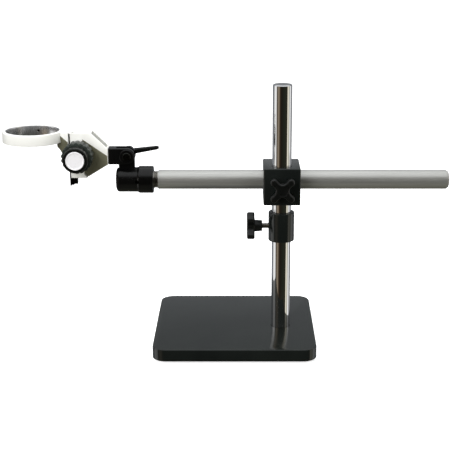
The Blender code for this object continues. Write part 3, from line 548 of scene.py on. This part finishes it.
def spigot():
    """Journal, retaining groove and the bright grooved collar between adapter and tube."""
    low, high = box("arm_spigot")
    arm_low, _ = box("boom_arm")
    _, adapter_high = box("arm_adapter")
    collar_left, collar_right = adapter_high.x + GAP, arm_low.x - GAP
    radius = (high.z - low.z) / 2
    journal, shank = 0.0107, 0.0107
    neck = middle("adapter_set_screw_front").x
    profile = [(0, low.x), (journal, low.x), (journal, neck - 0.003), (0.009, neck - 0.0025), (0.009, neck + 0.0025),
               (journal, neck + 0.003), (journal, collar_left), (radius, collar_left)]
    grooves = 3
    step_length = (collar_right - collar_left) / (grooves + 1)
    for groove in range(1, grooves + 1):
        here = collar_left + groove * step_length
        profile += [(radius, here - 0.0007), (radius - 0.0012, here), (radius, here + 0.0007)]
    profile += [(radius, collar_right), (shank, collar_right), (shank, high.x), (0, high.x)]
    centre = middle("boom_arm")
    stand_for(turned("arm_spigot_fine", profile, at((0, centre.y, centre.z), TO_X), LOOKS["steel"], 96), "arm_spigot")


# Adapter and tilt

def adapter():
    low, high = box("arm_adapter")
    wide, narrow = 0.0200, 0.0183
    step_x = high.x - 0.021
    profile = [(0, low.x), (narrow - 0.0045, low.x), (narrow - 0.0014, low.x + 0.0012), (narrow, low.x + 0.0042),
               (narrow, step_x - 0.0018), (wide, step_x), (wide, high.x), (0, high.x)]
    body = turned("arm_adapter_fine", rounded(profile, 0.0010), at((0, ARM.y, ARM.z), TO_X), LOOKS["gloss_black"], 96)
    right, left, half = 0.0108, 0.0125, 0.0050
    points = [(right, PIVOT.z - ARM.z)]
    for step in range(33):
        angle = math.radians(180 * step / 32)
        reach = right if angle <= math.pi / 2 else left
        points.append((reach * math.cos(angle), -right * math.sin(angle)))
    points.append((-left, PIVOT.z - ARM.z))
    lug_mesh = prism_mesh(points, -half, half)
    round_rims(lug_mesh, 0.0007, 3)
    lug = object_from(lug_mesh, "lug", at((PIVOT.x, ARM.y, PIVOT.z), TO_REAR), LOOKS["gloss_black"])
    combine(body, lug, "UNION")
    cut_hole(body, 0.0110, at((high.x + 0.001, ARM.y, ARM.z), TO_LEFT), 0.0345)
    cut_hole(body, 0.0043, at((PIVOT.x, ARM.y - 0.02, PIVOT.z), TO_REAR), 0.04, 40)
    for node, turn in (("adapter_set_screw_rear", TO_REAR), ("adapter_set_screw_front", TO_FRONT)):
        cut_hole(body, 0.0028, at((middle(node).x, ARM.y, ARM.z), turn), 0.025, 32)
    stand_for(body, "arm_adapter")


def fork():
    low, high = box("tilt_fork")
    half, end = 0.0110, 0.0118
    left = low.x - PIVOT.x
    points = [(left, -end)]
    for step in range(33):
        angle = math.radians(-90 + 180 * step / 32)
        points.append((end * math.cos(angle), end * math.sin(angle)))
    points.append((left, end))
    bm = prism_mesh(points, -half, half)
    round_rims(bm, 0.0013, 3)
    made = object_from(bm, "tilt_fork_fine", at((PIVOT.x, ARM.y, PIVOT.z), TO_REAR), LOOKS["gloss_black"])
    stand = ARM.y - half - low.y
    disc = turned("disc", rounded([(0, 0), (0.0098, 0), (0.0106, 0.0008), (0.0106, stand + 0.002), (0, stand + 0.002)],
                                  0.0005), at((PIVOT.x, low.y, PIVOT.z), TO_REAR), LOOKS["gloss_black"], 80)
    combine(made, disc, "UNION")
    reach = 0.0053
    slot = 0.0158
    cut_box(made, (PIVOT.x - slot, ARM.y - reach, PIVOT.z - 0.02), (PIVOT.x + 0.02, ARM.y + reach, PIVOT.z + 0.02))
    cut_hole(made, 0.0043, at((PIVOT.x, ARM.y - 0.02, PIVOT.z), TO_REAR), 0.04, 40)
    stand_for(made, "tilt_fork")


def lever():
    low, high = box("lever_handle")
    length = high.y - low.y
    wall = 0.0075
    profile = [(0.0020, 0), (0.0084, 0), (0.0090, 0.0006), (0.0086, length * 0.6), (0.0080, length - 0.0012),
               (0.0070, length), (0.0020, length)]
    made = turned("lever_handle_fine", rounded(profile, 0.0006, closed=True), at((PIVOT.x, low.y, PIVOT.z), TO_REAR),
                  LOOKS["black_plastic"], 72)
    bm = bmesh.new()
    reach = (high.x - PIVOT.x) / math.cos(math.radians(8.5)) - 0.0003
    stations = 14
    loops = []
    for station in range(stations + 1):
        t = station / stations
        x = 0.006 + (reach - 0.006) * t
        tip = min(1.0, math.sqrt(max(0.0, 1 - ((t - 0.94) / 0.06) ** 2)) * 0.35 + 0.65) if t > 0.94 else 1.0
        tall = (0.0044 - 0.0016 * t) * tip
        deep = (0.0038 - 0.0010 * t) * tip
        ring = []
        for step in range(28):
            angle = 2 * math.pi * step / 28
            power = 0.8
            c, s = math.cos(angle), math.sin(angle)
            ring.append(bm.verts.new((x, math.copysign(abs(c) ** power, c) * deep,
                                      math.copysign(abs(s) ** power, s) * tall)))
        loops.append(ring)
    for near, far in zip(loops, loops[1:]):
        for step in range(28):
            after = (step + 1) % 28
            bm.faces.new((near[step], near[after], far[after], far[step]))
    bm.faces.new(loops[0])
    bm.faces.new(loops[-1])
    place = at((PIVOT.x, low.y + 0.0085, PIVOT.z), Matrix.Rotation(math.radians(-8.5), 4, "Y"))
    combine(made, object_from(bm, "grip", place, LOOKS["black_plastic"]), "UNION")
    cut_hole(made, 0.0069, at((PIVOT.x, low.y - 0.001, PIVOT.z), TO_REAR), wall + 0.001, 56)
    cut_hole(made, 0.0060, at((PIVOT.x, low.y + wall + 0.0015, PIVOT.z), TO_REAR), 0.012, 56)
    stand_for(made, "lever_handle")


# Focus mount

def chamfer_plane(bm, point, normal):
    geometry = bm.verts[:] + bm.edges[:] + bm.faces[:]
    result = bmesh.ops.bisect_plane(bm, geom=geometry, plane_co=point, plane_no=normal, clear_outer=True)
    edges = [item for item in result["geom_cut"] if isinstance(item, bmesh.types.BMEdge)]
    bmesh.ops.contextual_create(bm, geom=edges)


def flank_chamfers(bm, front, rear, upper, lower, inner, depth):
    """Slopes the lower part of the front and rear flanks inwards."""
    for flank, sign in ((front, -1), (rear, 1)):
        a = Vector((upper[0], flank, upper[1]))
        b = Vector((lower[0], flank, lower[1]))
        c = Vector((inner[0], flank - sign * depth, inner[1]))
        normal = (b - a).cross(c - a).normalized()
        chamfer_plane(bm, a, normal if normal.y * sign > 0 else -normal)


def side_prism(outline, front, rear):
    bm = prism_mesh([(x, -z) for x, z in outline], front, rear)
    bmesh.ops.rotate(bm, verts=bm.verts, matrix=TO_REAR.to_3x3())
    return bm


def focus_body():
    low, high = box("focus_body")
    pinion = middle("pinion_shaft")
    left, right, lip_bottom = low.x + 0.0019, high.x, high.z - 0.0016
    nose_top, nose_bottom = BASE_TOP + 0.2655, BASE_TOP + 0.2420
    slope_top, slope_bottom, housing_right = left + 0.0290, left + 0.0246, left + 0.0183
    housing = [(left, low.z), (slope_bottom - 0.0006, low.z), (housing_right, low.z + 0.0065),
               (housing_right, high.z), (low.x, high.z), (low.x, lip_bottom), (left, lip_bottom)]
    body = object_from(side_prism(housing, low.y, high.y), "focus_body_fine", look=LOOKS["white_enamel"])
    soften(body, 0.0008, 3)
    hidden, inset = housing_right - 0.0040, 0.0001
    outline = [(hidden, low.z + inset), (slope_bottom, low.z + inset), (right, nose_bottom), (right, nose_top),
               (slope_top, high.z - inset), (hidden, high.z - inset)]
    bm = side_prism(outline, low.y + inset, high.y - inset)
    flank_chamfers(bm, low.y + inset, high.y - inset, (slope_top, BASE_TOP + 0.2727), (right, BASE_TOP + 0.2550),
                   (slope_bottom, low.z), 0.0085)
    neck = object_from(bm, "neck", look=LOOKS["white_enamel"])
    soften(neck, 0.0008, 3)
    combine(body, neck, "UNION")
    slant = math.atan2(high.z - nose_top, right - slope_top)
    spot = Vector(((right + slope_top) / 2, (low.y + high.y) / 2, (high.z + nose_top) / 2))
    cut_box(body, (-0.0150, -0.0095, -0.0010), (0.0150, 0.0095, 0.0010), at(spot, Matrix.Rotation(slant, 4, "Y")))
    centre_y = (low.y + high.y) / 2
    groove = 0.0065 + GAP
    cut_box(body, (low.x - 0.01, centre_y - groove, 0.2),
            (box("slide_rail")[1].x + GAP, centre_y + groove, lip_bottom))
    pocket = size("rack").y / 2 + 0.0005
    cut_box(body, (left, centre_y - pocket, 0.2), (pinion.x - 0.0035, centre_y + pocket, lip_bottom))
    cut_hole(body, 0.0078, at((pinion.x, centre_y - pocket, pinion.z), TO_REAR), 2 * pocket, 48)
    cut_hole(body, 0.0063, at((pinion.x, low.y - 0.001, pinion.z), TO_REAR), 0.04, 48)
    screw = middle("gib_screw")
    cut_hole(body, 0.0029, at((screw.x, screw.y, high.z - 0.0014)), 0.02, 32)
    cut_hole(body, 0.0023, at((screw.x, screw.y, high.z - 0.006)), 0.02, 32)
    paint_neck_shade(body, spot, Vector((math.sin(slant), 0, math.cos(slant))))
    stand_for(body, "focus_body")


def is_cut_back(face):
    """Whether a face is one of a casting's cut-back flanks, and not a rounded edge."""
    return 0.15 < abs(face.normal.y) < 0.996 and face.normal.z < -0.02 and face.area > 0.00006


def paint_neck_shade(body, spot, upward):
    """Paints shade on the neck: its cut-back flanks and the sunk face on its slope get darker copies of the white
    enamel.
    """
    body.data.materials.append(LOOKS["painted_flank_shade"])
    body.data.materials.append(LOOKS["painted_slope_shade"])
    for face in body.data.polygons:
        if is_cut_back(face):
            face.material_index = 1
        elif face.normal.dot(upward) > 0.98 and (face.center - spot).dot(upward) < -0.0007:
            face.material_index = 2


def fluted_outline(radius, depth, flutes=18, per_flute=12):
    points = []
    count = flutes * per_flute
    for step in range(count):
        angle = 2 * math.pi * step / count
        ridge = abs(math.sin(flutes * angle / 2))
        reach = radius - depth * (1 - ridge) ** 1.3
        points.append((reach * math.cos(angle), reach * math.sin(angle)))
    return points


def focus_knob(side, turn):
    node = f"focus_knob_{side}"
    start, direction, length = along_box(node, turn)
    grip_length, grip, front = 0.021, size(node).x / 2, 0.0182
    bm = prism_mesh(fluted_outline(grip, 0.0017), 0, grip_length)
    round_rims(bm, 0.0009, 3)
    knob = object_from(bm, f"{node}_fine", at(start, turn), LOOKS["knob_rubber"])
    profile = rounded([(0, 0), (front, 0), (front, length - grip_length + 0.002), (0, length - grip_length + 0.002)],
                      0.0022, 6)
    nose = turned("nose", profile, at(start + direction * (grip_length - 0.002), turn), LOOKS["black_plastic"], 96)
    combine(knob, nose, "UNION")
    cut_hole(knob, 0.0138, at(start + direction * (length - 0.002), turn), 0.01, 96)
    cut_hole(knob, 0.0036, at(start - direction * 0.001, turn), 0.029, 40)
    stand_for(knob, node)
    cap_start, _, thick = along_box(f"knob_cap_{side}", turn)
    cap_radius = 0.0134
    cap = rounded([(0, 0), (cap_radius, 0), (cap_radius, thick), (0.0116, thick), (0.0108, thick - 0.0007),
                   (0, thick - 0.0005)], 0.0005, 4)
    stand_for(turned(f"knob_cap_{side}_fine", cap, at(cap_start, turn), LOOKS["white_plastic"], 96),
              f"knob_cap_{side}")


def ring_carrier():
    low, high = box("ring_carrier")
    body_low, body_high = box("focus_body")
    centre_y = (low.y + high.y) / 2
    bore, outer, height = 0.038, 0.044, 0.016
    ring_x = low.x + outer
    bottom = high.z - height
    profile = [(bore + 0.001, 0), (outer, 0), (outer, height), (bore + 0.001, height), (bore, height - 0.001),
               (bore, 0.001)]
    ring = turned("ring_carrier_fine", rounded(profile, 0.0009, 3, closed=True), at((ring_x, centre_y, bottom)),
                  LOOKS["white_enamel"], 160)
    right, heel = high.x, low.z
    start, control, end = Vector((-0.0302, 0.0002)), Vector((-0.0117, -0.0050)), Vector((-0.0087, -0.0250))
    curve = []
    for step in range(17):
        share = step / 16
        point = start * (1 - share) ** 2 + control * 2 * share * (1 - share) + end * share ** 2
        curve.append((right + point.x, bottom + point.y))
    top = high.z - 0.0002
    outline = [(curve[0][0], top)] + curve + [(right - 0.0082, heel), (right, heel), (right, top)]
    bm = side_prism(outline, body_low.y, body_high.y)
    flank_chamfers(bm, body_low.y, body_high.y, (right - 0.0143, BASE_TOP + 0.2879), (right, BASE_TOP + 0.2750),
                   (right - 0.0082, heel), 0.0080)
    bracket = object_from(bm, "bracket", look=LOOKS["white_enamel"])
    soften(bracket, 0.0008, 3, 34)
    # The bracket's cut-back flanks get the dark olive copy of the enamel as painted shade
    bracket.data.materials.append(LOOKS["painted_flank_shade"])
    apply_modifiers(bracket)
    for face in bracket.data.polygons:
        if is_cut_back(face):
            face.material_index = 1
    combine(ring, bracket, "UNION")
    cut_hole(ring, bore, at((ring_x, centre_y, bottom - 0.01)), 0.04, 160)
    lock = middle("ring_lock_screw")
    out = Vector((lock.x - ring_x, lock.y - centre_y, 0)).normalized()
    turn = out.to_track_quat("Z", "Y").to_matrix().to_4x4()
    cut_hole(ring, 0.0019, at(Vector((ring_x, centre_y, lock.z)) + out * 0.030, turn), 0.03, 32)
    for node in ("rail_screw_upper", "rail_screw_lower"):
        level = middle(node).z
        cut_hole(ring, 0.0018, at((right - 0.02, centre_y, level), TO_X), 0.03, 24)
        cut_hole(ring, 0.0036, at((ring_x, centre_y, level), TO_X), right - 0.004 - ring_x, 32)
    ring.data.materials.append(LOOKS["machined"])
    for face in ring.data.polygons:
        reach = (Vector((face.center.x, face.center.y)) - Vector((ring_x, centre_y))).length
        if reach < bore + 0.0011 and face.center.x < ring_x + bore + 0.001:
            face.material_index = len(ring.data.materials) - 1
    stand_for(ring, "ring_carrier")
    thumb_screw("ring_lock_screw", at(Vector((ring_x, centre_y, lock.z)) + out * (bore - 0.0005), turn), 0.0015,
                0.0095, 0.0060, 0.0170)


def thumb_screw(node, place, shank, shank_length, head, length):
    """A screw with a knurled head."""
    screw = turned(f"{node}_fine", rounded([(0, 0), (shank, 0), (shank, length - 0.0005), (0, length - 0.0005)], 0.0002),
                   place, LOOKS["dark_steel"], 32)
    bm = prism_mesh(fluted_outline(head, 0.0005, 24, 6), shank_length, length)
    round_rims(bm, 0.0005, 2)
    combine(screw, object_from(bm, "head", place, LOOKS["dark_steel"]), "UNION")
    stand_for(screw, node)


def stop_screw():
    low, _ = box("slide_stop_screw")
    centre = middle("slide_stop_screw")
    thumb_screw("slide_stop_screw", at((low.x, centre.y, centre.z), TO_X), 0.0020, 0.0036, 0.0057,
                size("slide_stop_screw").x)


def plain_nodes():
    """The nodes that keep their own shape get smooth shading and their finish; three of them also get a small rounding.
    """
    for name, obj in frame["nodes"].items():
        obj.data.materials.clear()
        obj.data.materials.append(LOOKS[SLOT_OF[name]])
        shade(obj)
    frame["nodes"]["gib_screw"].data.materials[0] = LOOKS["black_plastic"]
    for name in ("slide_rail", "post_bolt", "rack"):
        bevel = frame["nodes"][name].modifiers.new("edges", "BEVEL")
        bevel.width = 0.0002
        bevel.segments = 2
        bevel.limit_method = "ANGLE"


# Studio

# The room as polished parts see it: azimuth from the viewer's side in degrees, then colour
ROOM = [(-180, (0.25, 0.26, 0.27)), (-112, (0.25, 0.26, 0.28)), (-105, (1.05, 1.05, 1.03)),
        (-76, (1.00, 1.00, 0.98)), (-69, (0.10, 0.080, 0.060)), (-60, (0.070, 0.050, 0.036)),
        (-54, (0.29, 0.235, 0.17)), (-38, (0.25, 0.20, 0.145)), (-31, (0.050, 0.032, 0.018)),
        (-14, (0.016, 0.013, 0.009)), (24, (0.020, 0.022, 0.015)), (50, (0.028, 0.028, 0.018)),
        (57, (0.020, 0.014, 0.004)), (63, (0.92, 0.86, 0.70)), (74, (0.98, 0.94, 0.80)),
        (80, (0.42, 0.41, 0.31)), (88, (0.40, 0.40, 0.32)), (94, (1.08, 1.08, 1.08)),
        (108, (1.05, 1.05, 1.05)), (114, (0.30, 0.30, 0.31)), (160, (0.25, 0.26, 0.27))]


def room_colour(tree, direction):
    """The room's colour in a direction, from a ramp round the horizon that brightens overhead."""
    split = tree.nodes.new("ShaderNodeSeparateXYZ")
    tree.links.new(direction, split.inputs["Vector"])
    flip = tree.nodes.new("ShaderNodeMath")
    flip.operation = "MULTIPLY"
    flip.inputs[1].default_value = -1
    tree.links.new(split.outputs["Y"], flip.inputs[0])
    turn = tree.nodes.new("ShaderNodeMath")
    turn.operation = "ARCTAN2"
    tree.links.new(split.outputs["X"], turn.inputs[0])
    tree.links.new(flip.outputs["Value"], turn.inputs[1])
    share = tree.nodes.new("ShaderNodeMapRange")
    share.inputs["From Min"].default_value = -math.pi
    share.inputs["From Max"].default_value = math.pi
    tree.links.new(turn.outputs["Value"], share.inputs["Value"])
    ramp = tree.nodes.new("ShaderNodeValToRGB")
    ramp.color_ramp.interpolation = "LINEAR"
    stops = ramp.color_ramp.elements
    while len(stops) > 1:
        stops.remove(stops[-1])
    stops[0].position = 0
    stops[0].color = (*ROOM[0][1], 1)
    for azimuth, colour in ROOM[1:]:
        stops.new((azimuth + 180) / 360).color = (*colour, 1)
    tree.links.new(share.outputs["Result"], ramp.inputs["Fac"])
    overhead = tree.nodes.new("ShaderNodeMapRange")
    overhead.interpolation_type = "SMOOTHSTEP"
    overhead.inputs["From Min"].default_value = 0.45
    overhead.inputs["From Max"].default_value = 0.85
    tree.links.new(split.outputs["Z"], overhead.inputs["Value"])
    mix = tree.nodes.new("ShaderNodeMix")
    mix.data_type = "RGBA"
    mix.inputs["B"].default_value = (0.85, 0.87, 0.88, 1)
    tree.links.new(overhead.outputs["Result"], mix.inputs["Factor"])
    tree.links.new(ramp.outputs["Color"], mix.inputs["A"])
    below = tree.nodes.new("ShaderNodeMapRange")
    below.interpolation_type = "SMOOTHSTEP"
    below.inputs["From Min"].default_value = -0.42
    below.inputs["From Max"].default_value = -0.75
    tree.links.new(split.outputs["Z"], below.inputs["Value"])
    sink = tree.nodes.new("ShaderNodeMix")
    sink.data_type = "RGBA"
    sink.inputs["B"].default_value = (0.13, 0.13, 0.105, 1)
    tree.links.new(below.outputs["Result"], sink.inputs["Factor"])
    tree.links.new(mix.outputs["Result"], sink.inputs["A"])
    return sink.outputs["Result"]


def studio():
    """White to the camera, a dim room with tall light panels to everything else."""
    world = bpy.data.worlds.new("studio")
    bpy.context.scene.world = world
    world.use_nodes = True
    tree = world.node_tree
    tree.nodes.clear()
    out = tree.nodes.new("ShaderNodeOutputWorld")
    seen, felt = tree.nodes.new("ShaderNodeBackground"), tree.nodes.new("ShaderNodeBackground")
    seen.inputs["Color"].default_value = (1, 1, 1, 1)
    place = tree.nodes.new("ShaderNodeTexCoord")
    tree.links.new(room_colour(tree, place.outputs["Generated"]), felt.inputs["Color"])
    path = tree.nodes.new("ShaderNodeLightPath")
    mix = tree.nodes.new("ShaderNodeMixShader")
    tree.links.new(path.outputs["Is Camera Ray"], mix.inputs["Fac"])
    tree.links.new(felt.outputs["Background"], mix.inputs[1])
    tree.links.new(seen.outputs["Background"], mix.inputs[2])
    tree.links.new(mix.outputs["Shader"], out.inputs["Surface"])


def floor():
    """Pale to the camera; the object's matt surfaces see a dim olive bench, its polished ones the room."""
    bm = bmesh.new()
    bmesh.ops.create_grid(bm, x_segments=1, y_segments=1, size=6)
    nodes = Nodes("pale_floor")
    nodes.drive("Base Color", nodes.mix(nodes.spread(nodes.noise(3), 0, 1), (0.90, 0.90, 0.90), (0.92, 0.92, 0.92)))
    nodes.set(Roughness=0.8, Emission_Color=(1, 1, 1, 1), Emission_Strength=0.72)
    bench = nodes.add("ShaderNodeBsdfDiffuse")
    bench.inputs["Color"].default_value = (0.075, 0.075, 0.050, 1)
    path = nodes.add("ShaderNodeLightPath")
    mix = nodes.add("ShaderNodeMixShader")
    nodes.link(path.outputs["Is Camera Ray"], mix.inputs["Fac"])
    nodes.link(bench.outputs["BSDF"], mix.inputs[1])
    nodes.link(nodes.shader.outputs["BSDF"], mix.inputs[2])
    nodes.link(mix.outputs["Shader"], nodes.tree.nodes["Material Output"].inputs["Surface"])
    ground = object_from(bm, "floor", look=nodes.material)
    ground.visible_glossy = False


def lamp(name, place, aim, energy, wide, tall, shows=False):
    """An area light; shows says whether polished parts mirror it."""
    data = bpy.data.lights.new(name, "AREA")
    data.shape = "RECTANGLE"
    data.size, data.size_y = wide, tall
    data.energy = energy
    made = bpy.data.objects.new(name, data)
    made.location = place
    made.rotation_euler = (Vector(aim) - Vector(place)).to_track_quat("-Z", "Y").to_euler()
    made.visible_glossy = shows
    bpy.context.scene.collection.objects.link(made)


def camera():
    data = bpy.data.cameras.new("camera")
    data.lens = 92.8
    data.sensor_width = 36
    data.shift_x = -0.0356
    made = bpy.data.objects.new("camera", data)
    made.location = (POST.x - 0.059, POST.y - 1.637, BASE_TOP + 0.619)
    made.rotation_euler = (math.radians(74.2), 0, 0)
    bpy.context.scene.collection.objects.link(made)
    bpy.context.scene.camera = made


plain_nodes()
base_plate()
feet()
vertical_post()
stop_collar()
cross_block()
clamp_knob("collar", TO_LEFT)
clamp_knob("post_clamp", TO_FRONT)
clamp_knob("arm_clamp", TO_REAR)
boom()
spigot()
adapter()
fork()
lever()
focus_body()
focus_knob("front", TO_FRONT)
focus_knob("rear", TO_REAR)
ring_carrier()
stop_screw()
studio()
floor()
lamp("key", (-1.0, -1.9, 1.1), (-0.1, 0, 0.2), 42, 1.0, 1.4)
lamp("fill", (1.3, -1.8, 0.8), (0.1, 0, 0.25), 12, 0.8, 1.4)
lamp("top", (0, 0.1, 1.9), (0, 0, 0.2), 30, 1.4, 1.2)
camera()

bpy.context.scene.view_settings.view_transform = "Standard"
